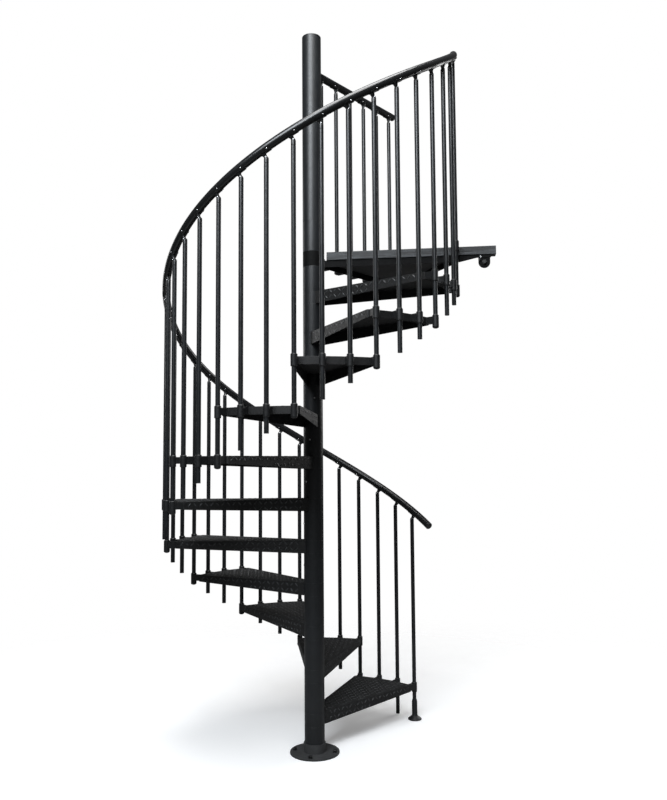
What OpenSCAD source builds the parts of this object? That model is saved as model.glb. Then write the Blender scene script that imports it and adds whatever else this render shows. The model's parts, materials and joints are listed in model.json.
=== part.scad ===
// Modular spiral staircase: pan treads on a stacked column, a helical railing
// and a triangular top platform. Millimetres, +Z up, with the column's axis at
// the origin and the floor at Z = 0. The stair climbs counter-clockwise.

/* [Rise and turn] */
// Rise from the top of one tread to the next
riser = 215; // [190:1:235]
// Height of the first tread's top above the floor
first_rise = 202; // [190:1:240]
// Angle that each tread adds to the climb
tread_turn = 27.87; // [25:0.01:29]
// Direction of the first baluster, seen from above
start_angle = 40.84; // [0:0.01:360]

/* [Column] */
// Outside diameter of the column's sleeves and hubs
column_d = 101.6; // [90:0.1:120]
// Wall of the sleeves and hubs
column_wall = 3; // [2:0.5:5]
// Wall of the pole inside the sleeves
core_wall = 4; // [3:0.5:6]
// Height of the column above the platform
column_above = 1178; // [1000:1:1400]
// Length of the sleeve that stands on the platform
platform_sleeve = 162; // [100:1:250]
// Thickness of the cap on the column
cap_t = 8; // [4:1:15]

/* [Base] */
// Diameter of the round base plate
base_d = 250; // [200:1:320]
// Thickness of the base plate
base_t = 8; // [6:1:15]
// Distance of the bolt holes' centres from the plate's edge
bolt_edge = 21; // [15:0.5:26]
// Diameter of the bolt holes
base_hole_d = 14; // [10:1:18]
// Number of bolt holes
base_holes = 4; // [3:1:6]
// Direction of the first bolt hole
base_hole_angle = 78; // [0:1:120]
// Wall of the collar around the column's foot
collar_wall = 5; // [3:0.5:8]
// Height of the collar above the base plate
collar_h = 44; // [20:1:60]

/* [Treads] */
// Radius of the treads' curved outer edge
tread_r = 706.6; // [600:0.1:800]
// Width of a tread where it meets the column
tread_in_w = 83; // [70:1:88]
// Width of a tread's outer edge past its two outer balusters, both sides together
tread_overlap = 36.7; // [30:0.1:60]
// Depth of the folded skirts at the column
skirt_in = 65; // [50:1:80]
// Depth of the folded skirts at the outer edge
skirt_out = 36; // [36:1:50]
// Thickness of the treads' sheet
sheet = 3; // [2:0.5:5]
// Size of the cut on a tread's outer corners
corner_cut = 5; // [2:1:5]

/* [Balusters] */
// Diameter of the balusters
baluster_d = 22; // [18:0.5:26]
// Wall of the balusters' tube
baluster_wall = 1.5; // [1:0.5:3]
// Gap between a tread's outer edge and the balusters' centres
standoff = 46; // [38:1:60]
// Depth of a baluster's seat below the top of its lower tread
seat_drop = 50; // [45:1:56]
// Length of the connector's plug on top of a baluster
plug_h = 28; // [20:1:40]
// Diameter of the connector's neck
neck_d = 17; // [12:1:20]
// Height from the top of the plug to the rail's centre
neck_rise = 47; // [42:1:60]

/* [Holders] */
// Diameter of the sleeves that hold the balusters
holder_d = 31; // [29:0.5:36]
// Height of the sleeves
holder_h = 56; // [50:1:65]
// Height of a sleeve's top above the tread
holder_above = 6; // [2:1:12]
// Chamfer on a sleeve's ends
holder_chamfer = 3; // [1:0.5:3]
// Thickness of the closed sleeves' round bottom
holder_floor = 9; // [6:1:14]
// Width of the block behind a sleeve
block_w = 25; // [18:1:26]
// Height of the block behind a sleeve
block_h = 32; // [20:1:34]
// Play between a baluster and its sleeve
play = 0.25; // [0.2:0.05:0.5]

/* [Handrail] */
// Diameter of the handrail
rail_d = 40; // [34:0.5:50]
// Height of the rail's centre above the first tread, at the first baluster
rail_h = 975; // [850:1:1100]
// Extra height that the rail gains over the treads by the last baluster
rail_gain = 28; // [0:1:40]
// Distance of the rail's centre outward of the balusters' centres
rail_out = 4; // [0:0.5:5]
// Reach of the rail past the first baluster
rail_past_low = 158; // [30:1:200]
// Reach of the rail past the last baluster, and of the platform's rail past its last one
rail_past_high = 52; // [30:1:80]
// Depth of the rounded end caps
rail_cap = 9; // [4:1:16]

/* [Foot] */
// Diameter of the foot under the first baluster
foot_d = 78; // [60:1:90]
// Height of the foot's sleeve above the floor
foot_h = 112; // [70:1:150]
// Height of the baluster's seat in the foot
foot_seat = 14; // [12:1:25]

/* [Platform] */
// Thickness of the platform's board
deck_t = 44; // [30:1:50]
// Depth of the steel frame under the board
frame_h = 36; // [36:1:50]
// Angle between the front edge and the back edge
platform_turn = 57.4; // [50:0.1:65]
// Distance of the front edge in front of the column's axis
front_offset = 5; // [0:1:8]
// Distance of the back edge in front of the column's axis
back_offset = 30; // [24:1:32]
// Reach of the front edge past the stair's last baluster
front_past = 21; // [10:1:60]
// Reach of the back edge past the back edge's last baluster
back_past = 18; // [16:1:50]
// Distance of the board's inner end from the column's axis
deck_in = 76; // [70:1:90]
// Reach of the front strip past the platform's outer side
strip_past = 184; // [120:1:240]
// Width of the front strip
strip_w = 55; // [40:1:70]
// Inset of the steel frame from the strip's front and the outer side
frame_inset = 5; // [2:1:12]
// Depth of the frame's arm under the strip's outer end
arm_h = 16; // [10:1:25]
// Distance of the arm's end from the strip's end
arm_short = 26; // [6:1:36]

/* [Platform railing] */
// Number of balusters on the back edge
back_balusters = 6; // [4:1:7]
// Distance of the first one from the column's axis
back_first = 98; // [80:1:110]
// Distance of the last one inward of the stair's balusters
back_short = 24.6; // [20:0.1:80]
// Depth of the sleeves' tops below the board's top
back_sleeve_drop = 12; // [4:1:16]

/* [Floor bracket] */
// Width of the rounded tab under the strip's outer end
tab_w = 60; // [50:1:70]
// Height of the tab
tab_h = 66; // [50:1:90]
// Thickness of the tab
tab_t = 8; // [5:1:12]
// Distance of the tab from the arm's end
tab_inset = 4; // [2:1:10]
// Diameter of the tab's fixing hole
tab_hole_d = 13; // [9:1:18]

/* [Hidden] */
TREADS = 11;
PER_TREAD = 3;
LAST = TREADS * PER_TREAD;

// Finishes
black_coat = [0.10, 0.11, 0.12];
slate_coat = [0.16, 0.18, 0.20];
black_plastic = [0.06, 0.06, 0.07];
rail_black = [0.12, 0.13, 0.14];
board_grey = [0.17, 0.18, 0.19];

fine = 96;
small = 40;
fit_gap = 0.3;
floor_gap = 5;

// Heights
platform_z = first_rise + TREADS * riser;
platform_depth = deck_t + frame_h;
column_r = column_d / 2;
bore_r = column_r - column_wall;
core_r = bore_r - fit_gap;
column_end = platform_z + column_above;

// Tread outline
tread_out_w = 2 * tread_r * sin(tread_turn / 2) + tread_overlap;
corner_x = sqrt(tread_r * tread_r - tread_out_w * tread_out_w / 4);
side_slope = (tread_out_w - tread_in_w) / 2 / (corner_x - column_r);
side_stretch = sqrt(1 + side_slope * side_slope);

// Railing
baluster_turn = tread_turn / PER_TREAD;
baluster_r = tread_r + standoff;
rail_r = baluster_r + rail_out;
rail_step = riser / PER_TREAD + rail_gain / LAST;
rail_slope = atan(rail_step / (rail_r * baluster_turn * PI / 180));
steps_per_mm = cos(rail_slope) / (rail_r * baluster_turn * PI / 180);
sleeve_bore_r = baluster_d / 2 + play;
rail_sides = 24;
rings_per_step = 3;

function tread_z(k) = first_rise + (k - 1) * riser;
function tread_angle(k) = start_angle + (k - 0.5) * tread_turn;
function baluster_angle(i) = start_angle + i * baluster_turn;
function rail_z(i) = first_rise + rail_h + i * rail_step;
function tube_top(i) = rail_z(i) - neck_rise - plug_h;
// Every third tube ends in its lower tread's seat; the first ones are cut short above the floor
function tube_foot(i) = i == 0 ? foot_seat
    : max(floor_gap, first_rise + (i / PER_TREAD - 1) * riser - seat_drop);

// ---------- column ----------

module ring(outer, inner, h) {
    difference() {
        cylinder(r = outer, h = h, $fn = fine);
        translate([0, 0, -1]) cylinder(r = inner, h = h + 2, $fn = fine);
    }
}

module base_plate() {
    socket_r = column_r + fit_gap;
    color(black_coat) translate([0, 0, base_t]) ring(socket_r + collar_wall, socket_r, collar_h);
    color(black_coat) difference() {
        cylinder(d = base_d, h = base_t, $fn = fine);
        for (n = [0 : base_holes - 1])
            rotate(base_hole_angle + n * 360 / base_holes)
                translate([base_d / 2 - bolt_edge, 0, -1]) cylinder(d = base_hole_d, h = base_t + 2, $fn = small);
    }
}

module column_core() {
    color(black_coat) translate([0, 0, base_t])
        ring(core_r, core_r - core_wall, column_end - base_t);
}

// Sleeve n stands on tread n, and sleeve 0 on the base plate
function sleeve_from(n) = n == 0 ? base_t : tread_z(n);
function sleeve_to(n) = n == TREADS ? platform_z - platform_depth : tread_z(n + 1) - skirt_in;

module column_sleeves() {
    color(slate_coat) {
        for (n = [0 : TREADS])
            translate([0, 0, sleeve_from(n)]) ring(column_r, bore_r, sleeve_to(n) - sleeve_from(n));
        translate([0, 0, platform_z]) ring(column_r, bore_r, platform_sleeve);
    }
}

module column_top() {
    color(slate_coat) translate([0, 0, platform_z + platform_sleeve])
        ring(column_r, bore_r, column_end - platform_z - platform_sleeve);
}

module column_cap() {
    edge = cap_t / 2;
    color(slate_coat) translate([0, 0, column_end]) rotate_extrude($fn = fine)
        polygon([[0, 0], [column_r, 0], [column_r, cap_t - edge],
            for (a = [15 : 15 : 90]) [column_r - edge + edge * cos(a), cap_t - edge + edge * sin(a)],
            [0, cap_t]]);
}

// Button-headed screws, one on each sleeve below the next tread's centre line
module set_screws() {
    screw_d = 10;
    screw_h = 2.5;
    screw_up = 0.57;
    color("silver") for (n = [1 : TREADS])
        translate([0, 0, sleeve_from(n) + screw_up * (sleeve_to(n) - sleeve_from(n))])
            rotate([0, 90, tread_angle(n + 1)]) translate([0, 0, column_r])
                cylinder(d1 = screw_d, d2 = screw_d - screw_h, h = screw_h, $fn = small);
}

// ---------- treads ----------

function side_y(x, inset) = tread_in_w / 2 + side_slope * (x - column_r) - inset * side_stretch;
function half_outline(inset) = let (x = corner_x - inset) [
    [0, side_y(0, inset)],
    [x - corner_cut, side_y(x - corner_cut, inset)],
    [x, side_y(x, inset) - corner_cut],
    [tread_r + 1, side_y(x, inset) - corner_cut]];
function outline(inset) = let (half = half_outline(inset), n = len(half))
    concat(half, [for (j = [n - 1 : -1 : 0]) [half[j][0], -half[j][1]]]);

// The wedge of one tread, from its top down past its skirts
module tread_block(inset, top) {
    depth = skirt_in + 10;
    intersection() {
        translate([0, 0, -depth]) linear_extrude(depth - top) polygon(outline(inset));
        translate([0, 0, -depth]) cylinder(r = tread_r - inset, h = depth, $fn = 4 * fine);
    }
}

// Side view of the skirts, deep at the column and shallow outside
module skirt_profile() {
    wide = tread_out_w + 20;
    translate([0, wide / 2, 0]) rotate([90, 0, 0]) linear_extrude(wide)
        polygon([[-1, 0], [-1, -skirt_in], [column_r, -skirt_in], [corner_x, -skirt_out],
            [tread_r + 1, -skirt_out], [tread_r + 1, 0]]);
}

module tread(k) {
    color(black_coat) translate([0, 0, tread_z(k)]) rotate(tread_angle(k)) difference() {
        union() {
            difference() {
                intersection() {
                    tread_block(0, 0);
                    skirt_profile();
                }
                tread_block(sheet, sheet);
            }
            translate([0, 0, -skirt_in]) cylinder(r = column_r, h = skirt_in, $fn = fine);
        }
        translate([0, 0, -skirt_in - 1]) cylinder(r = bore_r, h = skirt_in + 2, $fn = fine);
    }
}

module tread_01() { tread(1); }
module tread_02() { tread(2); }
module tread_03() { tread(3); }
module tread_04() { tread(4); }
module tread_05() { tread(5); }
module tread_06() { tread(6); }
module tread_07() { tread(7); }
module tread_08() { tread(8); }
module tread_09() { tread(9); }
module tread_10() { tread(10); }
module tread_11() { tread(11); }

// ---------- baluster holders ----------

// A sleeve with its top at Z = 0; a closed one has a round bottom under the seat
module sleeve_body(closed, seat) {
    r = holder_d / 2;
    c = holder_chamfer;
    bottom = closed ? seat + holder_floor : holder_h;
    low = closed ? [for (a = [0 : 15 : 90]) [r * cos(a), holder_floor * (1 - sin(a)) - bottom]]
                 : [[r, c - bottom], [r - c, -bottom], [0, -bottom]];
    rotate_extrude($fn = fine) polygon(concat([[0, 0], [r - c, 0], [r, -c]], low));
}

// Sleeve and block, for a face at distance `gap` inward of the baluster
module holder(closed, gap, top, seat, block_top) {
    difference() {
        union() {
            translate([0, 0, top]) sleeve_body(closed, seat);
            translate([-gap, -block_w / 2, block_top - block_h]) cube([gap, block_w, block_h]);
        }
        translate([0, 0, closed ? top - seat : top - holder_h - 1])
            cylinder(r = sleeve_bore_r, h = (closed ? seat : holder_h + 1) + 1, $fn = fine);
    }
}

module at_baluster(i, z) {
    rotate(baluster_angle(i)) translate([baluster_r, 0, z]) children();
}

module tread_holders(k) {
    for (j = [0 : PER_TREAD])
        at_baluster((k - 1) * PER_TREAD + j, tread_z(k))
            holder(j == PER_TREAD, standoff, holder_above, holder_above + seat_drop, -2);
}

module holder_group(from, to) {
    color(black_plastic) for (k = [from : to]) tread_holders(k);
}

module holders_lower() { holder_group(1, 4); }
module holders_middle() { holder_group(5, 8); }
module holders_upper() { holder_group(9, TREADS); }

module newel_foot() {
    r = holder_d / 2;
    color(black_plastic) at_baluster(0, 0) difference() {
        rotate_extrude($fn = fine)
            polygon([[0, 0], [foot_d / 2 - 2, 0], [foot_d / 2, 2], [foot_d / 2, 5], [foot_d / 2 - 3, 8],
                [r + 2, 22], [r, 28], [r, foot_h - 4 * holder_chamfer], [r - holder_chamfer, foot_h],
                [0, foot_h]]);
        translate([0, 0, foot_seat]) cylinder(r = sleeve_bore_r, h = foot_h, $fn = fine);
    }
}

// ---------- balusters and connectors ----------

module baluster_tube(h) {
    end_t = 3;
    difference() {
        cylinder(d = baluster_d, h = h, $fn = fine);
        translate([0, 0, end_t]) cylinder(d = baluster_d - 2 * baluster_wall, h = h, $fn = fine);
    }
}

module baluster_group(from, to) {
    color(slate_coat) for (i = [from : to])
        at_baluster(i, tube_foot(i)) baluster_tube(tube_top(i) - tube_foot(i));
}

module balusters_lower() { baluster_group(0, 11); }
module balusters_middle() { baluster_group(12, 22); }
module balusters_upper() { baluster_group(23, LAST); }

// Plug on the tube and a neck square to the rail, which slopes at `slope`
module connector(slope, out) {
    drop = neck_rise * cos(slope);
    lean = atan(out / drop);
    saddle_h = 3;
    saddle_d = neck_d + 8;
    reach = sqrt(drop * drop + out * out);
    difference() {
        union() {
            cylinder(d = baluster_d, h = plug_h, $fn = fine);
            translate([0, 0, plug_h]) rotate([slope, 0, 0]) rotate([0, lean, 0]) {
                cylinder(d = neck_d, h = reach, $fn = small);
                translate([0, 0, reach - rail_d / 2 - saddle_h]) cylinder(d = saddle_d, h = saddle_h * 2, $fn = small);
            }
            translate([0, 0, plug_h]) sphere(d = baluster_d, $fn = fine);
        }
        translate([out, 0, plug_h + neck_rise]) rotate([slope - 90, 0, 0])
            cylinder(r = rail_d / 2 + fit_gap, h = 4 * rail_d, center = true, $fn = fine);
    }
}

module connector_group(from, to) {
    color(black_plastic) for (i = [from : to]) at_baluster(i, tube_top(i)) connector(rail_slope, rail_out);
}

module connectors_lower() { connector_group(0, 11); }
module connectors_middle() { connector_group(12, 22); }
module connectors_upper() { connector_group(23, LAST); }

// ---------- handrail ----------

// One ring of the rail at position i along the balusters
function rail_ring(i) = let (a = baluster_angle(i), b = rail_slope, r = rail_d / 2)
    [for (s = [0 : rail_sides - 1]) let (u = r * cos(s * 360 / rail_sides), v = r * sin(s * 360 / rail_sides))
        [(rail_r + u) * cos(a) + v * sin(b) * sin(a),
         (rail_r + u) * sin(a) - v * sin(b) * cos(a),
         rail_z(i) + v * cos(b)]];

module rail_segment(from, to) {
    steps = ceil((to - from) * rings_per_step);
    n = rail_sides;
    points = [for (j = [0 : steps]) each rail_ring(from + (to - from) * j / steps)];
    sides = [for (j = [0 : steps - 1], s = [0 : n - 1]) let (t = (s + 1) % n, p = j * n, q = p + n)
        each [[p + s, q + s, q + t], [p + s, q + t, p + t]]];
    low_end = [for (s = [0 : n - 1]) s];
    high_end = [for (s = [n - 1 : -1 : 0]) steps * n + s];
    color(rail_black) polyhedron(points, concat(sides, [low_end, high_end]));
}

segment_ends = [-rail_past_low * steps_per_mm, 8.5, 17.5, 26.5, LAST + rail_past_high * steps_per_mm];
module handrail_1() { rail_segment(segment_ends[0], segment_ends[1]); }
module handrail_2() { rail_segment(segment_ends[1], segment_ends[2]); }
module handrail_3() { rail_segment(segment_ends[2], segment_ends[3]); }
module handrail_4() { rail_segment(segment_ends[3], segment_ends[4]); }

// Rounded cap standing on the plane Z = 0
module rail_cap() {
    r = rail_d / 2;
    rotate_extrude($fn = fine) polygon([[0, 0], [r, 0],
        for (a = [15 : 15 : 75]) [r * cos(a), rail_cap * sin(a)], [0, rail_cap]]);
}

module handrail_caps() {
    color(black_plastic) for (end = [0, 1]) {
        i = segment_ends[end * 4];
        rotate(baluster_angle(i)) translate([rail_r, 0, rail_z(i)])
            rotate([rail_slope + (end == 0 ? 90 : -90), 0, 0]) rail_cap();
    }
}

// ---------- platform ----------

// The front edge passes the last baluster at the same standoff as a tread's edge
platform_skew = asin((standoff + front_offset) / baluster_r);

// Front frame: X along the front edge, origin on the column's axis
module platform_place() {
    rotate(baluster_angle(LAST) + platform_skew) translate([0, 0, platform_z]) children();
}

// A point at distance x along the back edge and y off it, in the front frame
function on_back(x, y) = [x * cos(platform_turn) - y * sin(platform_turn),
                          x * sin(platform_turn) + y * cos(platform_turn)];
front_len = baluster_r * cos(platform_skew) + front_past;
strip_len = front_len + strip_past;
arm_len = strip_len - arm_short;
back_last = baluster_r - back_short;
back_len = back_last + back_past;
front_corner = [front_len, -front_offset];
back_corner = on_back(back_len, -back_offset);
// Point where the outer side crosses the height y of the front frame
function outer_at(y) = front_corner + (back_corner - front_corner)
    * (y - front_corner[1]) / (back_corner[1] - front_corner[1]);
// Point where a line parallel to the back edge crosses the height y of the front frame
function back_at(y, off) = on_back((y + off * cos(platform_turn)) / sin(platform_turn), -off);
strip_back = strip_w - front_offset;

module platform_strip() {
    color(board_grey) platform_place() translate([deck_in, -front_offset, -deck_t])
        cube([strip_len - deck_in, strip_w, deck_t]);
}

module platform_deck() {
    color(board_grey) platform_place() translate([0, 0, -deck_t]) linear_extrude(deck_t)
        polygon([back_at(strip_back, back_offset), outer_at(strip_back), back_corner]);
}

// Plan of the frame under the board, inset by `inset` all round
module frame_plan(inset) {
    front_y = frame_inset - front_offset + inset;
    side = frame_inset + inset;
    far = outer_at(front_y) - [side, 0];
    back = on_back(back_len - side, -back_offset - inset);
    polygon([back_at(front_y, back_offset + inset), far, back]);
}

module platform_frame() {
    front_y = frame_inset - front_offset;
    curve_r = 90;
    arm_from = outer_at(front_y)[0] - frame_inset - sheet;
    flange_w = strip_w - 2 * frame_inset;
    color(black_coat) platform_place() difference() {
        union() {
            difference() {
                translate([0, 0, -platform_depth]) linear_extrude(frame_h) frame_plan(0);
                translate([0, 0, -platform_depth - 1]) linear_extrude(frame_h + 1 - sheet) frame_plan(sheet);
            }
            translate([0, front_y + sheet, -deck_t]) rotate([90, 0, 0]) linear_extrude(sheet)
                polygon([[arm_from, 0], [arm_from, -frame_h],
                    for (a = [0 : 15 : 90]) [arm_from + 6 + curve_r * sin(a), -arm_h - (frame_h - arm_h) * (1 - sin(a))],
                    [arm_len, -arm_h], [arm_len, 0]]);
            translate([arm_from, front_y, -deck_t - sheet]) cube([arm_len - arm_from, flange_w, sheet]);
            translate([0, 0, -platform_depth]) cylinder(r = column_r, h = platform_depth, $fn = fine);
        }
        translate([0, 0, -platform_depth - 1]) cylinder(r = bore_r, h = platform_depth + 2, $fn = fine);
    }
}

// Rounded tab that takes the fixing to the upper floor
module floor_bracket() {
    low = tab_h - tab_w / 2;
    back_y = frame_inset - front_offset + sheet;
    color(black_coat) platform_place()
        translate([arm_len - tab_inset - tab_w / 2, back_y + tab_t, -deck_t - sheet]) rotate([90, 0, 0]) difference() {
            union() {
                translate([-tab_w / 2, -low, 0]) cube([tab_w, low, tab_t]);
                translate([0, -low, 0]) cylinder(d = tab_w, h = tab_t, $fn = fine);
            }
            translate([0, -low, -1]) cylinder(d = tab_hole_d, h = tab_t + 2, $fn = small);
        }
}

function back_x(n) = back_first + n * (back_last - back_first) / (back_balusters - 1);
back_rail_y = standoff - back_offset;
back_seat = holder_above + seat_drop;
back_seat_z = -back_sleeve_drop - back_seat;

module at_back(x, z) {
    platform_place() rotate(platform_turn) translate([x, back_rail_y, z]) children();
}

module platform_holders() {
    color(black_plastic) {
        for (n = [0 : back_balusters - 1])
            at_back(back_x(n), 0) rotate(90)
                holder(true, standoff, -back_sleeve_drop, back_seat, -deck_t - 2);
        platform_place() translate([baluster_r * cos(platform_skew), -baluster_r * sin(platform_skew), 0])
            rotate(-90) holder(false, standoff, 20, holder_h, -4);
    }
}

back_rail_z = rail_h + rail_gain;
back_tube = back_rail_z - neck_rise - plug_h - back_seat_z;

module platform_balusters() {
    color(slate_coat) for (n = [0 : back_balusters - 1])
        at_back(back_x(n), back_seat_z) baluster_tube(back_tube);
}

module platform_connectors() {
    color(black_plastic) for (n = [0 : back_balusters - 1])
        at_back(back_x(n), back_seat_z + back_tube) rotate(90) connector(0, 0);
}

back_rail_from = column_r + 12;
back_rail_to = back_last + rail_past_high - 10;

module platform_handrail() {
    color(rail_black) at_back(back_rail_from, back_rail_z) rotate([0, 90, 0])
        cylinder(d = rail_d, h = back_rail_to - back_rail_from, $fn = fine);
}

module platform_rail_caps() {
    color(black_plastic) {
        at_back(back_rail_from, back_rail_z) rotate([0, -90, 0]) rail_cap();
        at_back(back_rail_to, back_rail_z) rotate([0, 90, 0]) rail_cap();
    }
}

base_plate();
column_core();
column_sleeves();
column_top();
column_cap();
set_screws();
tread_01();
tread_02();
tread_03();
tread_04();
tread_05();
tread_06();
tread_07();
tread_08();
tread_09();
tread_10();
tread_11();
holders_lower();
holders_middle();
holders_upper();
newel_foot();
balusters_lower();
balusters_middle();
balusters_upper();
connectors_lower();
connectors_middle();
connectors_upper();
handrail_1();
handrail_2();
handrail_3();
handrail_4();
handrail_caps();
platform_frame();
platform_deck();
platform_strip();
floor_bracket();
platform_holders();
platform_balusters();
platform_connectors();
platform_handrail();
platform_rail_caps();
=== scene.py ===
"""Looks of the modular spiral staircase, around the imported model. Metres, +Z up."""

import json
import math

import bpy
import numpy as np
from mathutils import Matrix, Vector


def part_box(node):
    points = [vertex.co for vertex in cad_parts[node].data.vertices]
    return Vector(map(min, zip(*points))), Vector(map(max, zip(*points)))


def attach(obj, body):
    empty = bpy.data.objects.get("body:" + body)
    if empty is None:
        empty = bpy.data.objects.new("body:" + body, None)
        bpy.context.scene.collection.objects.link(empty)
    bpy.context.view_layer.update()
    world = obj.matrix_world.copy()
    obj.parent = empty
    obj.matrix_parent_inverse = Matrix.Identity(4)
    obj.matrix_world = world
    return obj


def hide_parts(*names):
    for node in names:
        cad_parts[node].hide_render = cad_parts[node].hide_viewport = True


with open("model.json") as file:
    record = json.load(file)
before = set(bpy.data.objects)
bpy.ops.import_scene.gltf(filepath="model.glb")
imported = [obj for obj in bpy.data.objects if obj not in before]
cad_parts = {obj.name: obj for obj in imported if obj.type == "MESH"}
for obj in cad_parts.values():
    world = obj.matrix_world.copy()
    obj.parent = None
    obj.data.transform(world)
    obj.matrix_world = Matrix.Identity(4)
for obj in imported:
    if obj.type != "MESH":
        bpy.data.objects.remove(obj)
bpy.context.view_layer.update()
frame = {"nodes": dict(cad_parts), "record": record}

nodes = frame["nodes"]

# ---------- sizes shared with the model ----------

TREADS = 11
PER_TREAD = 3
LAST = TREADS * PER_TREAD
TREAD_TURN = math.radians(27.87)
BALUSTER_TURN = TREAD_TURN / PER_TREAD
COLUMN_R = 0.0508
TREAD_R = 0.7066
TREAD_IN_W = 0.083
TREAD_OVERLAP = 0.0367
SKIRT_IN = 0.065
SKIRT_OUT = 0.036
BALUSTER_D = 0.022
PLUG_H = 0.028
NECK_RISE = 0.047
RAIL_D = 0.040
RAIL_H = 0.975
RAIL_GAIN = 0.028
RAIL_OUT = 0.004
RAIL_PAST_LOW = 0.158
RAIL_PAST_HIGH = 0.052
PLATFORM_TURN = math.radians(57.4)
FRONT_OFFSET = 0.005
STANDOFF = 0.046

# ---------- places read from the model ----------

foot_low, foot_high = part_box("newel_foot")
first_axis = (foot_low + foot_high) / 2
START = math.atan2(first_axis.y, first_axis.x)
BALUSTER_R = math.hypot(first_axis.x, first_axis.y)
RAIL_R = BALUSTER_R + RAIL_OUT
FIRST_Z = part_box("tread_01")[1].z
RISER = (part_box("tread_11")[1].z - FIRST_Z) / (TREADS - 1)
RAIL_STEP = RISER / PER_TREAD + RAIL_GAIN / LAST
RAIL_SLOPE = math.atan(RAIL_STEP / (RAIL_R * BALUSTER_TURN))
PLATFORM_ANGLE = START + LAST * BALUSTER_TURN + math.asin((STANDOFF + FRONT_OFFSET) / BALUSTER_R)
TREAD_OUT_W = 2 * TREAD_R * math.sin(TREAD_TURN / 2) + TREAD_OVERLAP
CORNER_X = math.sqrt(TREAD_R ** 2 - TREAD_OUT_W ** 2 / 4)
SIDE_SLOPE = (TREAD_OUT_W - TREAD_IN_W) / 2 / (CORNER_X - COLUMN_R)


def tread_z(k):
    return FIRST_Z + (k - 1) * RISER


def tread_angle(k):
    return START + (k - 0.5) * TREAD_TURN


def baluster_angle(i):
    return START + i * BALUSTER_TURN


def rail_z(i):
    return FIRST_Z + RAIL_H + i * RAIL_STEP


# ---------- mesh building ----------


def tube_faces(rings, sides):
    """Faces of a closed tube: the walls between its rings, then its two ends."""
    walls = []
    for base in range(0, (rings - 1) * sides, sides):
        for s in range(sides):
            ahead = (s + 1) % sides
            walls.append([base + s, base + ahead, base + sides + ahead, base + sides + s])
    first = list(reversed(range(sides)))
    last = [(rings - 1) * sides + s for s in range(sides)]
    return walls + [first, last]


class Build:
    """Collects closed shapes and joins them into one piece."""

    def __init__(self):
        self.points, self.faces = [], []

    def add(self, points, faces, place=Matrix.Identity(4)):
        first = len(self.points)
        self.points += [place @ Vector(p) for p in points]
        self.faces += [[first + v for v in face] for face in faces]

    def lathe(self, profile, place, sides=24):
        """Turns (radius, height) pairs about Z; the ends are closed."""
        turns = [2 * math.pi * s / sides for s in range(sides)]
        points = [(r * math.cos(t), r * math.sin(t), z) for r, z in profile for t in turns]
        self.add(points, tube_faces(len(profile), sides), place)

    def piece(self, name, material, slot, smooth_deg=40):
        mesh = bpy.data.meshes.new(name)
        mesh.from_pydata([tuple(p) for p in self.points], [], self.faces)
        mesh.materials.append(material)
        mesh.shade_smooth()
        mesh.set_sharp_from_angle(angle=math.radians(smooth_deg))
        obj = bpy.data.objects.new(name, mesh)
        bpy.context.scene.collection.objects.link(obj)
        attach(obj, "root")
        return obj


def along(direction, at):
    """A place at `at` whose Z runs along `direction`."""
    return Matrix.Translation(at) @ Vector(direction).to_track_quat("Z", "Y").to_matrix().to_4x4()


def axes(x, y, z):
    """The turn whose X, Y and Z run along three directions."""
    return Matrix((x, y, z)).transposed().to_4x4()


HEAD_SINK = 0.0004
HEAD_TURNS = np.radians([0, 25, 50, 72])


def button_head(radius, height):
    """Profile of a domed screw head, sunk a little into what it holds."""
    rise = [(radius * math.cos(a), height * math.sin(a)) for a in HEAD_TURNS]
    return [(radius, -HEAD_SINK)] + rise


# ---------- materials ----------


# The middle of a noise, where nearly all of its values lie
NOISE_LOW = 0.3
NOISE_HIGH = 0.7


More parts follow.
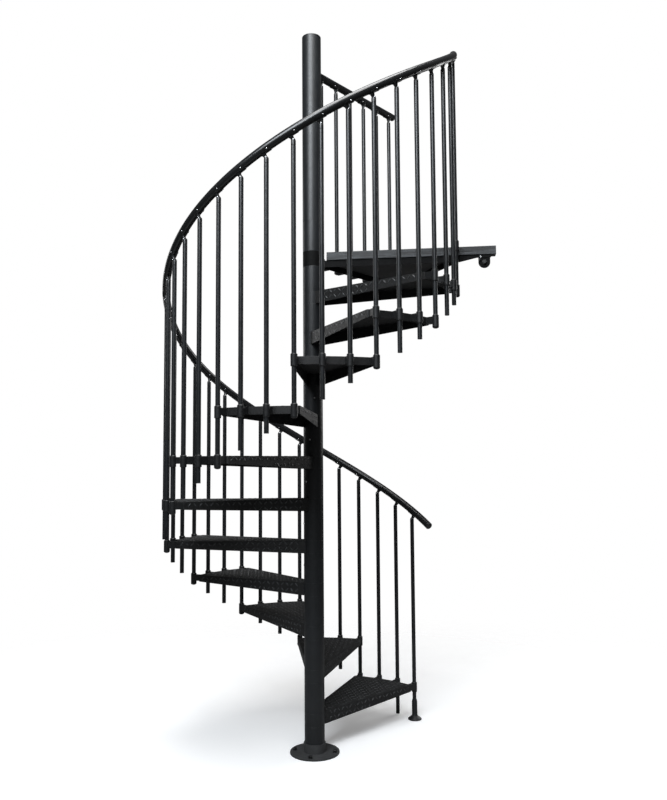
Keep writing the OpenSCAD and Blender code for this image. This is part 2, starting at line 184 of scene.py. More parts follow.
class Nodes:
    """Short calls for the nodes that the materials share."""

    def __init__(self, name):
        self.material = bpy.data.materials.new(name)
        self.material.use_nodes = True
        self.tree = self.material.node_tree
        self.shader = self.tree.nodes["Principled BSDF"]
        coordinates = self.node("ShaderNodeTexCoord")
        self.place = coordinates.outputs["Object"]
        self.normal = coordinates.outputs["Normal"]

    def node(self, kind, **values):
        made = self.tree.nodes.new(kind)
        for key, value in values.items():
            setattr(made, key, value)
        return made

    def link(self, out, socket):
        self.tree.links.new(out, socket)

    def stretched(self, turn, scale):
        """Object coordinates turned about Z, then scaled on each axis."""
        turned = self.node("ShaderNodeMapping")
        turned.inputs["Rotation"].default_value = (0, 0, turn)
        self.link(self.place, turned.inputs["Vector"])
        scaled = self.node("ShaderNodeMapping")
        scaled.inputs["Scale"].default_value = scale
        self.link(turned.outputs["Vector"], scaled.inputs["Vector"])
        return scaled.outputs["Vector"]

    def noise(self, scale, detail=3.0, roughness=0.55, vector=None):
        made = self.node("ShaderNodeTexNoise")
        made.inputs["Scale"].default_value = scale
        made.inputs["Detail"].default_value = detail
        made.inputs["Roughness"].default_value = roughness
        self.link(vector or self.place, made.inputs["Vector"])
        return made.outputs["Fac"]

    def ramp(self, value, stops):
        """Colours at positions along 0 to 1."""
        made = self.node("ShaderNodeValToRGB")
        elements = made.color_ramp.elements
        while len(elements) < len(stops):
            elements.new(0.5)
        for element, (position, color) in zip(elements, stops):
            element.position = position
            element.color = (*color, 1)
        self.link(value, made.inputs["Fac"])
        return made.outputs["Color"]

    def clouds(self, value, low, high):
        """Blends two colours over the middle of a noise."""
        return self.ramp(value, [(NOISE_LOW, low), (NOISE_HIGH, high)])

    def spread(self, value, low, high):
        """Maps the middle of a noise onto low to high."""
        made = self.node("ShaderNodeMapRange")
        made.inputs["From Min"].default_value = NOISE_LOW
        made.inputs["From Max"].default_value = NOISE_HIGH
        made.inputs["To Min"].default_value = low
        made.inputs["To Max"].default_value = high
        self.link(value, made.inputs["Value"])
        return made.outputs["Result"]

    def bump(self, value, depth, normal=None):
        made = self.node("ShaderNodeBump")
        made.inputs["Distance"].default_value = depth
        made.inputs["Strength"].default_value = 1.0
        self.link(value, made.inputs["Height"])
        if normal:
            self.link(normal, made.inputs["Normal"])
        return made.outputs["Normal"]

    def mix(self, share, first, second, kind="FLOAT"):
        """Blends two values or, with kind "RGBA" or "VECTOR", two colours or vectors."""
        made = self.node("ShaderNodeMix", data_type=kind)
        sockets = [socket for socket in made.inputs if socket.enabled]
        for value, socket in zip((share, first, second), sockets):
            self.link(value, socket)
        return next(socket for socket in made.outputs if socket.enabled)

    def within(self, radius):
        """1 closer to the Z axis than `radius`, 0 further out."""
        flat = self.node("ShaderNodeVectorMath", operation="MULTIPLY")
        flat.inputs[1].default_value = (1, 1, 0)
        self.link(self.place, flat.inputs[0])
        length = self.node("ShaderNodeVectorMath", operation="LENGTH")
        self.link(flat.outputs["Vector"], length.inputs[0])
        less = self.node("ShaderNodeMath", operation="LESS_THAN")
        less.inputs[1].default_value = radius
        self.link(length.outputs["Value"], less.inputs[0])
        return less.outputs["Value"]

    def finish(self, color, roughness, normal):
        self.link(color, self.shader.inputs["Base Color"])
        self.link(roughness, self.shader.inputs["Roughness"])
        self.link(normal, self.shader.inputs["Normal"])
        return self.material


def grey(level, tint=0.0):
    """A grey that leans to blue by `tint`."""
    return (level * (1 - tint), level, level * (1 + tint))


# Each finish has a level (its reflectance), a tint (its lean to blue) and a roughness,
# and most have the scale and depth of a fine grain


def coat_looks(n, level, tint, rough, grain):
    """Colour, roughness and height of paint with faint clouding and fine orange peel."""
    color = n.clouds(n.noise(scale=9, detail=4), grey(level * 0.8, tint), grey(level * 1.25, tint))
    roughness = n.spread(n.noise(scale=60, detail=3), rough - 0.04, rough + 0.06)
    return color, roughness, n.noise(scale=grain, detail=2)


def powder_coat(name, level, tint, rough, grain, depth):
    n = Nodes(name)
    color, roughness, height = coat_looks(n, level, tint, rough, grain)
    return n.finish(color, roughness, n.bump(height, depth))


def textured_coat(name, level, tint, rough):
    """Rough, mottled black coat on folded sheet; the hub around the column has the column's paint."""
    n = Nodes(name)
    hub = n.within(COLUMN_R + HUB_PAINT_PAST)
    stops = [(0.35, grey(level * 0.45, tint)), (0.52, grey(level, tint)), (0.68, grey(level * 2.4, tint))]
    color = n.ramp(n.noise(scale=230, detail=5, roughness=0.7), stops)
    roughness = n.spread(n.noise(scale=120, detail=4), rough - 0.12, rough + 0.1)
    hub_color, hub_roughness, hub_height = coat_looks(n, **COLUMN_COAT)
    coarse = n.bump(n.mix(hub, n.noise(scale=320, detail=4, roughness=0.7), hub_height), depth=0.0005)
    normal = n.bump(n.noise(scale=1100, detail=2), depth=0.00010, normal=coarse)
    smooth = n.node("ShaderNodeNewGeometry").outputs["Normal"]
    return n.finish(n.mix(hub, color, hub_color, "RGBA"), n.mix(hub, roughness, hub_roughness),
                    n.mix(hub, normal, smooth, "VECTOR"))


# A face looks down where its normal's Z is below this
FACES_DOWN = -0.5


def two_sided_coat(name, level, under, rough):
    """Dull black coat, and a grey of level `under` on faces that look down."""
    n = Nodes(name)
    n.shader.inputs["Specular IOR Level"].default_value = 0.1
    split = n.node("ShaderNodeSeparateXYZ")
    n.link(n.normal, split.inputs["Vector"])
    down = n.node("ShaderNodeMath", operation="LESS_THAN")
    down.inputs[1].default_value = FACES_DOWN
    n.link(split.outputs["Z"], down.inputs[0])
    color, roughness, height = coat_looks(n, level, tint=0.05, rough=rough, grain=600)
    grey_color = n.clouds(n.noise(scale=5, detail=4), grey(under * 0.8), grey(under * 1.2))
    both = n.mix(down.outputs["Value"], color, grey_color, "RGBA")
    return n.finish(both, roughness, n.bump(height, depth=0.00006))


def moulded(name, level, tint, rough, depth):
    """Moulded plastic with a fine spark-eroded grain."""
    n = Nodes(name)
    color = n.clouds(n.noise(scale=25, detail=3), grey(level * 0.85, tint), grey(level * 1.2, tint))
    roughness = n.spread(n.noise(scale=90, detail=3), rough - 0.05, rough + 0.07)
    return n.finish(color, roughness, n.bump(n.noise(scale=1500, detail=2), depth))


# How much of the board's streaks is fine grain; the rest is broad grain
FINE_SHARE = 0.55
BROAD_SHARE = 0.45


def board(name, level, tint, turn, edge):
    """Charcoal-stained board, brushed so that its grain stands out along X of the turned frame.
    `edge` is how much lighter than `level` its lightest streaks are."""
    n = Nodes(name)
    fine = n.noise(scale=1, detail=8, roughness=0.72, vector=n.stretched(turn, (5, 330, 330)))
    broad = n.noise(scale=1, detail=5, roughness=0.6, vector=n.stretched(turn, (8, 85, 85)))
    mixed = n.node("ShaderNodeMath", operation="MULTIPLY_ADD")
    mixed.inputs[1].default_value = FINE_SHARE
    n.link(fine, mixed.inputs[0])
    scaled = n.node("ShaderNodeMath", operation="MULTIPLY")
    scaled.inputs[1].default_value = BROAD_SHARE
    n.link(broad, scaled.inputs[0])
    n.link(scaled.outputs[0], mixed.inputs[2])
    streaks = mixed.outputs[0]
    stops = [(0.41, grey(level * 0.3, tint)), (0.5, grey(level, tint)), (0.58, grey(level * edge, tint))]
    color = n.ramp(streaks, stops)
    return n.finish(color, n.spread(streaks, 0.62, 0.42), n.bump(streaks, depth=0.0016))


def zinc(name):
    """Bright zinc with a brushed, slightly cloudy face."""
    n = Nodes(name)
    n.shader.inputs["Metallic"].default_value = 1.0
    color = n.clouds(n.noise(scale=400, detail=3), (0.62, 0.63, 0.64), (0.82, 0.83, 0.84))
    roughness = n.spread(n.noise(scale=900, detail=2), 0.2, 0.34)
    return n.finish(color, roughness, n.bump(n.noise(scale=2500, detail=2), depth=0.00004))


COLUMN_COAT = {"level": 0.010, "tint": 0.14, "rough": 0.40, "grain": 700}
# The column's paint reaches this far past its radius onto the hubs
HUB_PAINT_PAST = 0.0004

column_paint = powder_coat("satin_slate_coat", **COLUMN_COAT, depth=0.00004)
baluster_paint = powder_coat("satin_charcoal_coat", level=0.010, tint=0.12, rough=0.36, grain=500,
                             depth=0.00002)
rail_paint = powder_coat("satin_rail_coat", level=0.009, tint=0.06, rough=0.26, grain=500, depth=0.00001)
frame_paint = two_sided_coat("black_frame_coat", level=0.0025, under=0.056, rough=0.62)
bolt_paint = powder_coat("black_bolt_coat", level=0.004, tint=0.02, rough=0.40, grain=300, depth=0.00003)
# The base plate's lighter grey is a painted reflection of the pale floor
base_paint = powder_coat("base_plate_coat_painted_reflection", level=0.042, tint=0.02, rough=0.44, grain=600, depth=0.00006)
tread_paint = textured_coat("textured_tread_coat", level=0.0055, tint=0.04, rough=0.56)
holder_plastic = moulded("moulded_holder", level=0.008, tint=0.08, rough=0.44, depth=0.00003)
neck_plastic = moulded("moulded_neck", level=0.008, tint=0.08, rough=0.36, depth=0.00002)
cap_plastic = moulded("moulded_cap", level=0.012, tint=0.03, rough=0.42, depth=0.00003)
deck_board = board("stained_board_top", level=0.030, tint=0.07, turn=-PLATFORM_ANGLE, edge=2.6)
strip_board = board("stained_board_edge", level=0.013, tint=0.12, turn=-PLATFORM_ANGLE, edge=3.4)
# The dashes' grey is far lighter than the tread's paint: a painted glint on their raised tops, besides their
# lower roughness
dash_paint = powder_coat("dash_coat_painted_glint", level=0.045, tint=0.05, rough=0.28, grain=300, depth=0.00003)
screw_zinc = zinc("bright_zinc")

FINISHES = {
    "tread_plate": tread_paint, "holder_plastic": holder_plastic, "connector_plastic": neck_plastic,
    "baluster_coat": baluster_paint, "rail_cap_plastic": cap_plastic, "rail_coat": rail_paint,
    "column_coat": column_paint, "core_steel": bolt_paint, "screw_steel": screw_zinc,
    "board_top": deck_board, "board_edge": strip_board, "base_coat": base_paint, "frame_coat": frame_paint,
}
for part in frame["record"]["subparts"]:
    node = nodes[part["node"]]
    node.data.materials.clear()
    node.data.materials.append(FINISHES[part["material_slot"]])

# ---------- softened edges on the model's own pieces ----------


WELD_REACH = 0.00001
SHARP_FROM = math.radians(35)
FLAT_FACE_WEIGHT = 80
SHEET_EDGE = 0.0008
METAL_EDGE = 0.0009
BOARD_EDGE = 0.0020


def soften(node, width, segments=2):
    """Rounds a node's sharp edges, so that they catch the light and joints show as fine grooves."""
    obj = nodes[node]
    weld = obj.modifiers.new("weld", "WELD")
    weld.merge_threshold = WELD_REACH
    bevel = obj.modifiers.new("bevel", "BEVEL")
    bevel.width = width
    bevel.segments = segments
    bevel.limit_method = "ANGLE"
    bevel.angle_limit = SHARP_FROM
    shading = obj.modifiers.new("shading", "WEIGHTED_NORMAL")
    shading.weight = FLAT_FACE_WEIGHT


TREAD_NODES = [f"tread_{k:02d}" for k in range(1, TREADS + 1)]
for name in TREAD_NODES + ["platform_frame"]:
    soften(name, SHEET_EDGE)
for name in ["column_sleeves", "column_top", "base_plate", "floor_bracket"]:
    soften(name, METAL_EDGE)
for name in ["platform_deck", "platform_strip"]:
    soften(name, BOARD_EDGE, 3)

# ---------- raised pattern of the tread plate ----------

DASH_LENGTH = 0.023
DASH_WIDTH = 0.0062
DASH_HEIGHT = 0.0013
DASH_PITCH = 0.028
DASH_MARGIN = 0.012
DASH_SIDES = 8
# Below 1, the dash is blunter than an ellipse
DASH_POINT = 0.8
# Share of the length, share of the width and height of each ring, from the foot up
DASH_RINGS = [(1.0, 1.0, -0.0003), (1.0, 1.0, 0.0002), (0.72, 0.5, DASH_HEIGHT)]
# The first dashes: how far from the column's face, and how far below the top
TOP_START = 0.016
SKIRT_START = 0.014
# How much nearer the lower edge of a skirt a dash may come
SKIRT_SLACK = 0.003


def dash():
    """One raised dash, lens-shaped, with its foot sunk into the sheet."""
    turns = [2 * math.pi * s / DASH_SIDES for s in range(DASH_SIDES)]
    points = [(DASH_LENGTH / 2 * wide * math.copysign(abs(math.cos(t)) ** DASH_POINT, math.cos(t)),
               DASH_WIDTH / 2 * narrow * math.sin(t), z) for wide, narrow, z in DASH_RINGS for t in turns]
    return points, tube_faces(len(DASH_RINGS), DASH_SIDES)


def side_y(x):
    return TREAD_IN_W / 2 + SIDE_SLOPE * (x - COLUMN_R)


def skirt_depth(x):
    share = (x - COLUMN_R) / (CORNER_X - COLUMN_R)
    return SKIRT_IN + (SKIRT_OUT - SKIRT_IN) * min(max(share, 0), 1)


def dash_turn(row, column):
    """Neighbouring dashes lie square to each other."""
    return math.radians(45 if (row + column) % 2 else -45)


def pattern_on_top(build, place):
    points, faces = dash()
    rows = int(TREAD_OUT_W / 2 / DASH_PITCH)
    for column in range(int(TREAD_R / DASH_PITCH) + 1):
        x = COLUMN_R + TOP_START + column * DASH_PITCH
        for row in range(-rows, rows + 1):
            y = row * DASH_PITCH
            inside = abs(y) < side_y(x) - DASH_MARGIN and math.hypot(x, y) < TREAD_R - DASH_MARGIN
            if inside:
                turn = Matrix.Rotation(dash_turn(row, column), 4, "Z")
                build.add(points, faces, place @ Matrix.Translation((x, y, 0)) @ turn)


def pattern_on_side(build, place, side):
    """Dashes on the left (+1) or right (-1) skirt."""
    points, faces = dash()
    stretch = math.hypot(1, SIDE_SLOPE)
    run = Vector((1, side * SIDE_SLOPE, 0)) / stretch
    out = Vector((-SIDE_SLOPE, side, 0)) / stretch
    wall = axes(side * run, Vector((0, 0, 1)), out)
    columns = int((CORNER_X - COLUMN_R) * stretch / DASH_PITCH)
    for column in range(1, columns + 1):
        x = COLUMN_R + column * DASH_PITCH / stretch
        for row in (0, 1):
            z = -SKIRT_START - row * DASH_PITCH
            if -z < skirt_depth(x) - DASH_MARGIN + SKIRT_SLACK and x < CORNER_X - DASH_MARGIN:
                turn = Matrix.Rotation(dash_turn(row, column), 4, "Z")
                at = Matrix.Translation((x, side * side_y(x), z))
                build.add(points, faces, place @ at @ wall @ turn)


for k in range(1, TREADS + 1):
    pattern = Build()
    place = Matrix.Translation((0, 0, tread_z(k))) @ Matrix.Rotation(tread_angle(k), 4, "Z")
    pattern_on_top(pattern, place)
    pattern_on_side(pattern, place, 1)
    pattern_on_side(pattern, place, -1)
    pattern.piece(f"tread_pattern_{k:02d}", dash_paint, "tread_plate", smooth_deg=60)

# ---------- handrail ----------

RAIL_SIDES = 40
RINGS_PER_STEP = 5
# The round rail stays inside the model's many-sided one
RAIL_SHY = 0.0003


def rail_ring(i):
    """Ring of the rail at position i along the balusters, square to its slope."""
    a, r = baluster_angle(i), RAIL_D / 2 - RAIL_SHY
    out = Vector((math.cos(a), math.sin(a), 0))
    lean = math.sin(RAIL_SLOPE)
    up = Vector((lean * math.sin(a), -lean * math.cos(a), math.cos(RAIL_SLOPE)))
    centre = out * RAIL_R + Vector((0, 0, rail_z(i)))
    turns = [2 * math.pi * s / RAIL_SIDES for s in range(RAIL_SIDES)]
    return [centre + out * (r * math.cos(t)) + up * (r * math.sin(t)) for t in turns]


def smooth_handrail():
    steps_per_metre = math.cos(RAIL_SLOPE) / (RAIL_R * BALUSTER_TURN)
    low, high = -RAIL_PAST_LOW * steps_per_metre, LAST + RAIL_PAST_HIGH * steps_per_metre
    steps = int((high - low) * RINGS_PER_STEP)
    n = RAIL_SIDES
    build = Build()
    points = [p for j in range(steps + 1) for p in rail_ring(low + (high - low) * j / steps)]
    faces = [[j * n + s, (j + 1) * n + s, (j + 1) * n + (s + 1) % n, j * n + (s + 1) % n]
             for j in range(steps) for s in range(n)]
    build.add(points, faces + [list(range(n)), [steps * n + s for s in reversed(range(n))]])
    rail = build.piece("handrail", rail_paint, "rail_coat")
    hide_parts("handrail_1", "handrail_2", "handrail_3", "handrail_4")


smooth_handrail()

# ---------- connectors between balusters and rails ----------


# Profiles as (radius, height): radii of the ring and plug are counted from the tube's radius,
# heights of the plug's crown from its top, and the neck's heights are shares of its length
RING_PROFILE = [(-0.0006, -0.0122), (0.0003, -0.0118), (0.0003, -0.0096), (-0.0006, -0.0092)]
PLUG_PROFILE = [(-0.0006, -0.001), (0, -0.0004), (0, 0.0022), (-0.0009, 0.003), (-0.0009, 0.0042), (0, 0.005)]
CROWN_PROFILE = [(0, -0.003), (-0.0008, 0.001), (-0.003, 0.005), (-0.0065, 0.0085)]
NECK_PROFILE = [(0.0080, 0), (0.0082, 0.35), (0.0092, 0.6), (0.0112, 0.82), (0.0132, 1)]
NECK_SINK = 0.0005
# Screw heads as (radius, height), how far each stands off, and its place
PLUG_HEAD = (0.0036, 0.0026)
PLUG_HEAD_SINK = 0.0016
PLUG_HEAD_RISE = 0.002
SADDLE_HEAD = (0.0034, 0.0024)
SADDLE_HEAD_OFF = 0.0015
SADDLE_HEAD_LIFT = math.radians(38)
HEAD_SIDES = 12
# The saddle's reach down and up the rail from the neck, and its screw's place
SADDLE_BACK = 0.012
SADDLE_FRONT = 0.040
SADDLE_SCREW = 0.025
SADDLE_T = 0.0022
SADDLE_ARC = math.radians(60)
SADDLE_SPANS = 14
SADDLE_SHARES = (0, 0.03, 0.1, 0.22, 0.5, 0.78, 0.9, 0.97, 1)
# How far the corners draw in, and how late along the plate they start to
SADDLE_CORNER = 0.45
SADDLE_SQUARE = 5


def arc_plate(build, place, inner, curve):
    """Saddle: a bent plate with rounded corners on the -X side of a tube along Z of `place`.
    `inner` is the tube's radius, and `curve` is how sharply the tube bends, as 1 over a radius."""
    turns = [math.pi - SADDLE_ARC + 2 * SADDLE_ARC * s / SADDLE_SPANS for s in range(SADDLE_SPANS + 1)]
    lengths = [-SADDLE_BACK + (SADDLE_FRONT + SADDLE_BACK) * share for share in SADDLE_SHARES]
    middle, half = (SADDLE_FRONT - SADDLE_BACK) / 2, (SADDLE_FRONT + SADDLE_BACK) / 2
    points = []
    for layer in (inner, inner + SADDLE_T):
        for z in lengths:
            for t in turns:
                narrow = 1 - SADDLE_CORNER * abs((z - middle) / half) ** SADDLE_SQUARE
                a = math.pi + (t - math.pi) * narrow
                points.append((layer * math.cos(a), layer * math.sin(a) - z * z * curve / 2, z))
    wide, long = len(turns), len(lengths)
    size = wide * long
    cells = [(j * wide + s, j * wide + s + 1, (j + 1) * wide + s + 1, (j + 1) * wide + s)
             for j in range(long - 1) for s in range(wide - 1)]
    faces = [list(c) for c in cells] + [[size + v for v in reversed(c)] for c in cells]
    last = long - 1
    rim = list(range(wide))
    rim += [j * wide + wide - 1 for j in range(1, long)]
    rim += [last * wide + s for s in reversed(range(wide - 1))]
    rim += [j * wide for j in reversed(range(1, last))]
    for a, b in zip(rim, rim[1:] + rim[:1]):
        faces.append([b, a, size + a, size + b])
    build.add(points, faces, place)


def connector(build, screws, foot, across, slope, out):
    """Ring on the tube, plug with a seam, tapered neck square to the rail, and saddle, with zinc screws.
    `foot` is the plug's lower end, `across` points away from the stair or platform."""
    up = Vector((0, 0, 1))
    run = up.cross(across)
    top = foot + up * PLUG_H
    square = up * math.cos(slope) - run * math.sin(slope)
    tangent = square.cross(across)
    centre = top + square * (NECK_RISE * math.cos(slope)) + across * out
    tube = BALUSTER_D / 2
    on_foot = Matrix.Translation(foot)
    plug = [(tube + r, z) for r, z in PLUG_PROFILE] + [(tube + r, PLUG_H + z) for r, z in CROWN_PROFILE]
    build.lathe([(tube + r, z) for r, z in RING_PROFILE], on_foot)
    build.lathe(plug, on_foot)
    seat = centre - square * (RAIL_D / 2 - NECK_SINK)
    reach = (seat - top).length
    build.lathe([(r, reach * share) for r, share in NECK_PROFILE], along(seat - top, top))
    hug = Matrix.Translation(centre) @ axes(square, across, tangent)
    arc_plate(build, hug, RAIL_D / 2 - RAIL_SHY, math.cos(slope) ** 2 / RAIL_R if slope else 0)
    for side in (1, -1):
        at = top + up * PLUG_HEAD_RISE + across * side * (tube - PLUG_HEAD_SINK)
        screws.lathe(button_head(*PLUG_HEAD), along(across * side, at), HEAD_SIDES)
        face = across * (side * math.cos(SADDLE_HEAD_LIFT)) - square * math.sin(SADDLE_HEAD_LIFT)
        at = centre + tangent * SADDLE_SCREW + face * (RAIL_D / 2 + SADDLE_HEAD_OFF)
        screws.lathe(button_head(*SADDLE_HEAD), along(face, at), HEAD_SIDES)


# Vertices that agree to this many decimals of a metre are one
SAME_DECIMALS = 5


def solids(node):
    """Lowest and highest corner of each separate solid of a node, in metres."""
    mesh = nodes[node].data
    co = np.array([v.co for v in mesh.vertices], float).reshape(-1, 3)
    _, same = np.unique(np.round(co, SAME_DECIMALS), axis=0, return_inverse=True)
    same = same.ravel()
    group = np.arange(same.max() + 1)

    def root(v):
        while group[v] != v:
            group[v] = group[group[v]]
            v = group[v]
        return v

    for polygon in mesh.polygons:
        corners = [root(same[v]) for v in polygon.vertices]
        for v in corners[1:]:
            group[root(v)] = root(corners[0])
    roots = np.array([root(v) for v in same])
    return [(Vector(co[roots == r].min(0)), Vector(co[roots == r].max(0))) for r in np.unique(roots)]


def tube_tops(node):
    """Middle of the upper end of each baluster of a node."""
    return [Vector(((low.x + high.x) / 2, (low.y + high.y) / 2, high.z)) for low, high in solids(node)]


def connectors(balusters, replaced, name, slope, out, fixed_across=None):
    plastic, metal = Build(), Build()
    for foot in tube_tops(balusters):
        across = fixed_across or Vector((foot.x, foot.y, 0)).normalized()
        connector(plastic, metal, foot, across, slope, out)
    body = plastic.piece(name, neck_plastic, "connector_plastic", smooth_deg=35)
    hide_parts(replaced)
    metal.piece(name + "_screws", screw_zinc, "screw_steel", smooth_deg=50)


for level in ("lower", "middle", "upper"):
    connectors(f"balusters_{level}", f"connectors_{level}", f"necks_{level}", RAIL_SLOPE, RAIL_OUT)
back_angle = PLATFORM_ANGLE + PLATFORM_TURN
back_out = Vector((-math.sin(back_angle), math.cos(back_angle), 0))
connectors("platform_balusters", "platform_connectors", "necks_platform", 0, 0, back_out)

# ---------- bolts ----------


# Bolts as (across flats, height, washer's radius, washer's thickness)
BASE_BOLT = (0.018, 0.0115, 0.012, 0.0025)
TAB_BOLT = (0.019, 0.011, 0.013, 0.0025)
TAB_NUT = (0.010, 0.011, 0.0065, 0.0016)
TAB_ZINC = (0.010, 0.009, 0.007, 0.0015)
WASHER_SIDES = 32
WASHER_ROUND = 0.0004
BOLT_SINK = 0.0002
BOLT_CHAMFER = 0.0012
BOLT_TOP_SHARE = 0.88


def hex_bolt(build, place, across_flats, height, washer_r, washer_t):
    """Washer and chamfered hexagon head standing on Z = 0 of `place`."""
    inner = washer_r - WASHER_ROUND
    build.lathe([(inner, -BOLT_SINK), (washer_r, WASHER_ROUND), (washer_r, washer_t - WASHER_ROUND),
                 (inner, washer_t)], place, WASHER_SIDES)
    r = across_flats / 2 / math.cos(math.pi / 6)
    corner = [(r * math.cos(math.pi * s / 3), r * math.sin(math.pi * s / 3)) for s in range(6)]
    levels = [(1.0, washer_t - BOLT_SINK), (1.0, height - BOLT_CHAMFER), (BOLT_TOP_SHARE, height)]
    points = [(x * share, y * share, z) for share, z in levels for x, y in corner]
    build.add(points, tube_faces(len(levels), 6), place)


pattern_mount = next(m for m in frame["record"]["mounts"] if m["name"] == "base_bolts")
BASE_T = 0.008
BOLT_START = math.radians(78)
base_bolts = Build()
bolt_count = pattern_mount["dims"]["count"]
bolt_circle_r = pattern_mount["dims"]["pcd_mm"] / 2000
for bolt in range(bolt_count):
    a = BOLT_START + 2 * math.pi * bolt / bolt_count
    at = Vector((bolt_circle_r * math.cos(a), bolt_circle_r * math.sin(a), BASE_T))
    hex_bolt(base_bolts, Matrix.Translation(at) @ Matrix.Rotation(a, 4, "Z"), *BASE_BOLT)
base_bolts.piece("base_bolts", bolt_paint, "frame_coat", smooth_deg=30)

# Fixing to the upper floor: bolt in the tab's hole, a smaller one beside it, zinc bolt at its top.
# Places are (sideways from the tab's middle, up from its lowest point)
TAB_W = 0.060
TAB_T = 0.008
TAB_NUT_AT = (-0.024, 0.044)
TAB_ZINC_AT = (-0.019, 0.058)
tab_low, tab_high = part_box("floor_bracket")
tab_along = Vector((math.cos(PLATFORM_ANGLE), math.sin(PLATFORM_ANGLE), 0))
tab_front = Vector((tab_along.y, -tab_along.x, 0))
tab_middle = (tab_low + tab_high) / 2
tab_foot = Vector((tab_middle.x, tab_middle.y, tab_low.z)) + tab_front * (TAB_T / 2)


def on_tab(sideways, up):
    return along(tab_front, tab_foot + tab_along * sideways + Vector((0, 0, up)))


tab_bolts = Build()
hex_bolt(tab_bolts, on_tab(0, TAB_W / 2), *TAB_BOLT)
hex_bolt(tab_bolts, on_tab(*TAB_NUT_AT), *TAB_NUT)
tab_bolts.piece("tab_bolts", bolt_paint, "frame_coat", smooth_deg=30)
tab_zinc = Build()
hex_bolt(tab_zinc, on_tab(*TAB_ZINC_AT), *TAB_ZINC)
tab_zinc.piece("tab_zinc_bolt", screw_zinc, "screw_steel", smooth_deg=30)

# ---------- camera, floor and light ----------


CAMERA_AT = (0, -4.1324, 1.4632)
# Yaw, pitch and roll, fitted to the photo
CAMERA_DEGREES = (1.477, 4.446, -0.387)
CAMERA_LENS_MM = 35.69
SENSOR_MM = 36


def make_camera():
    """Eye height in front of the stair, turned up a little."""
    yaw, pitch, roll = (math.radians(d) for d in CAMERA_DEGREES)
    forward = Vector((math.sin(yaw) * math.cos(pitch), math.cos(yaw) * math.cos(pitch), math.sin(pitch)))
    level = Vector((math.cos(yaw), -math.sin(yaw), 0))
    upward = level.cross(forward)
    right = level * math.cos(roll) + upward * math.sin(roll)
    up = upward * math.cos(roll) - level * math.sin(roll)
    data = bpy.data.cameras.new("camera")
    data.sensor_width = SENSOR_MM
    data.lens = CAMERA_LENS_MM
    camera = bpy.data.objects.new("camera", data)
    camera.matrix_world = Matrix.Translation(CAMERA_AT) @ axes(right, up, -forward)
    bpy.context.scene.collection.objects.link(camera)
    bpy.context.scene.camera = camera


# Darkest and lightest grey of the floor, as the camera sees it and as it lights the stair
FLOOR_SEEN = (0.89, 0.91)
FLOOR_CAST = (0.29, 0.31)
FLOOR_GLOW = 0.22
FLOOR_HALF = 4
FADE_FROM = 1.3
FADE_TO = 3.6


def make_floor():
    """Pale floor that fades into the background, and throws little light up at the stair."""
    n = Nodes("pale_floor")
    tree = n.tree
    n.shader.inputs["Roughness"].default_value = 0.9
    n.shader.inputs["Specular IOR Level"].default_value = 0.1
    pale = n.clouds(n.noise(scale=3, detail=2), grey(FLOOR_SEEN[0]), grey(FLOOR_SEEN[1]))
    dim = n.clouds(n.noise(scale=3, detail=2), grey(FLOOR_CAST[0]), grey(FLOOR_CAST[1]))
    seen = n.node("ShaderNodeLightPath").outputs["Is Camera Ray"]
    n.link(n.mix(seen, dim, pale, "RGBA"), n.shader.inputs["Base Color"])
    n.shader.inputs["Emission Color"].default_value = (1, 1, 1, 1)
    glow = n.node("ShaderNodeMath", operation="MULTIPLY")
    glow.inputs[1].default_value = FLOOR_GLOW
    n.link(seen, glow.inputs[0])
    n.link(glow.outputs["Value"], n.shader.inputs["Emission Strength"])
    distance = n.node("ShaderNodeVectorMath", operation="LENGTH")
    n.link(n.place, distance.inputs[0])
    fade = n.node("ShaderNodeMapRange", interpolation_type="SMOOTHSTEP")
    for key, value in (("From Min", FADE_FROM), ("From Max", FADE_TO), ("To Min", 0.0), ("To Max", 1.0)):
        fade.inputs[key].default_value = value
    n.link(distance.outputs["Value"], fade.inputs["Value"])
    clear = n.node("ShaderNodeBsdfTransparent")
    mix = n.node("ShaderNodeMixShader")
    n.link(fade.outputs["Result"], mix.inputs["Fac"])
    n.link(n.shader.outputs[0], mix.inputs[1])
    n.link(clear.outputs[0], mix.inputs[2])
    n.link(mix.outputs[0], tree.nodes["Material Output"].inputs["Surface"])
    half = FLOOR_HALF
    corners = [(-half, -half, 0), (half, -half, 0), (half, half, 0), (-half, half, 0)]
    mesh = bpy.data.meshes.new("floor")
    mesh.from_pydata(corners, [], [[0, 1, 2, 3]])
    mesh.materials.append(n.material)
    floor = bpy.data.objects.new("floor", mesh)
    bpy.context.scene.collection.objects.link(floor)


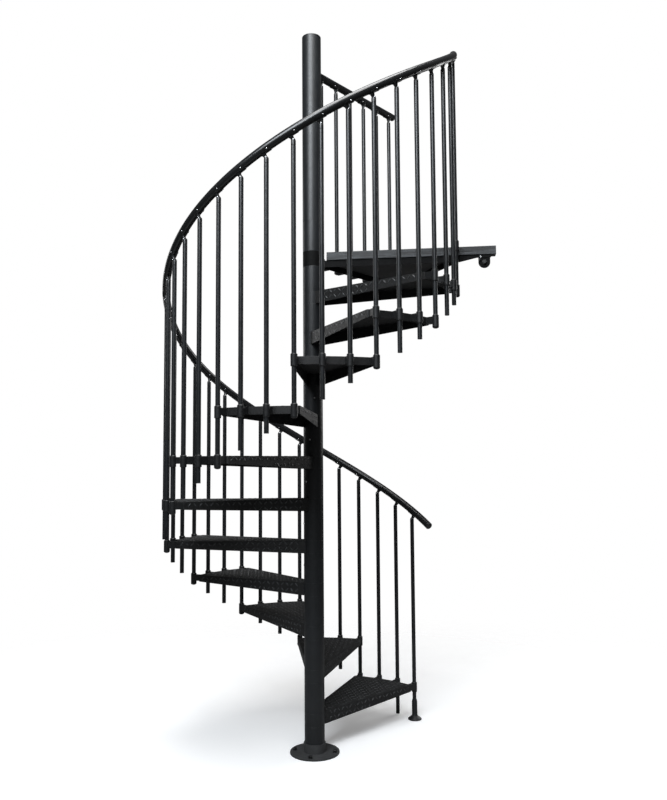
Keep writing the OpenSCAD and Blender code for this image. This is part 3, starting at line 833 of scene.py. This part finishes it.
# Softboxes as (place, what they face, (width, height), watts, colour)
SOFTBOXES = {
    "key": ((-1.5, -4.3, 5.5), (0, 0, 2.8), (3.4, 2.6), 390, (0.90, 0.95, 1.0)),
    "overhead": ((0.2, -1.5, 6.6), (0.1, -0.4, 0), (3.0, 3.8), 350, (1, 1, 1)),
    "back_right": ((3.6, 3.0, 3.2), (0, 0, 1.8), (1.8, 2.6), 50, (1, 1, 1)),
    "back_left": ((-3.4, 3.2, 3.0), (0, 0, 1.8), (1.8, 2.6), 30, (1, 1, 1)),
}
SURROUND_CAST = 0.07
SURROUND_SEEN = 1.0


def softbox(name, at, target, size, power, color):
    data = bpy.data.lights.new(name, "AREA")
    data.shape = "RECTANGLE"
    data.size, data.size_y = size
    data.energy = power
    data.color = color
    light = bpy.data.objects.new(name, data)
    light.location = at
    light.rotation_euler = (Vector(target) - Vector(at)).to_track_quat("-Z", "Y").to_euler()
    light.visible_camera = False
    bpy.context.scene.collection.objects.link(light)


def make_light():
    """Softboxes at the front left and overhead, weak ones behind, and a surround that only looks bright."""
    for name, values in SOFTBOXES.items():
        softbox(name, *values)
    world = bpy.data.worlds.new("surround")
    world.use_nodes = True
    tree = world.node_tree
    dim = tree.nodes["Background"]
    dim.inputs["Color"].default_value = (1, 1, 1, 1)
    dim.inputs["Strength"].default_value = SURROUND_CAST
    bright = tree.nodes.new("ShaderNodeBackground")
    bright.inputs["Color"].default_value = (1, 1, 1, 1)
    bright.inputs["Strength"].default_value = SURROUND_SEEN
    seen = tree.nodes.new("ShaderNodeLightPath")
    mix = tree.nodes.new("ShaderNodeMixShader")
    tree.links.new(seen.outputs["Is Camera Ray"], mix.inputs["Fac"])
    tree.links.new(dim.outputs[0], mix.inputs[1])
    tree.links.new(bright.outputs[0], mix.inputs[2])
    tree.links.new(mix.outputs[0], tree.nodes["World Output"].inputs["Surface"])
    bpy.context.scene.world = world
    bpy.context.scene.view_settings.view_transform = "Standard"


make_camera()
make_floor()
make_light()
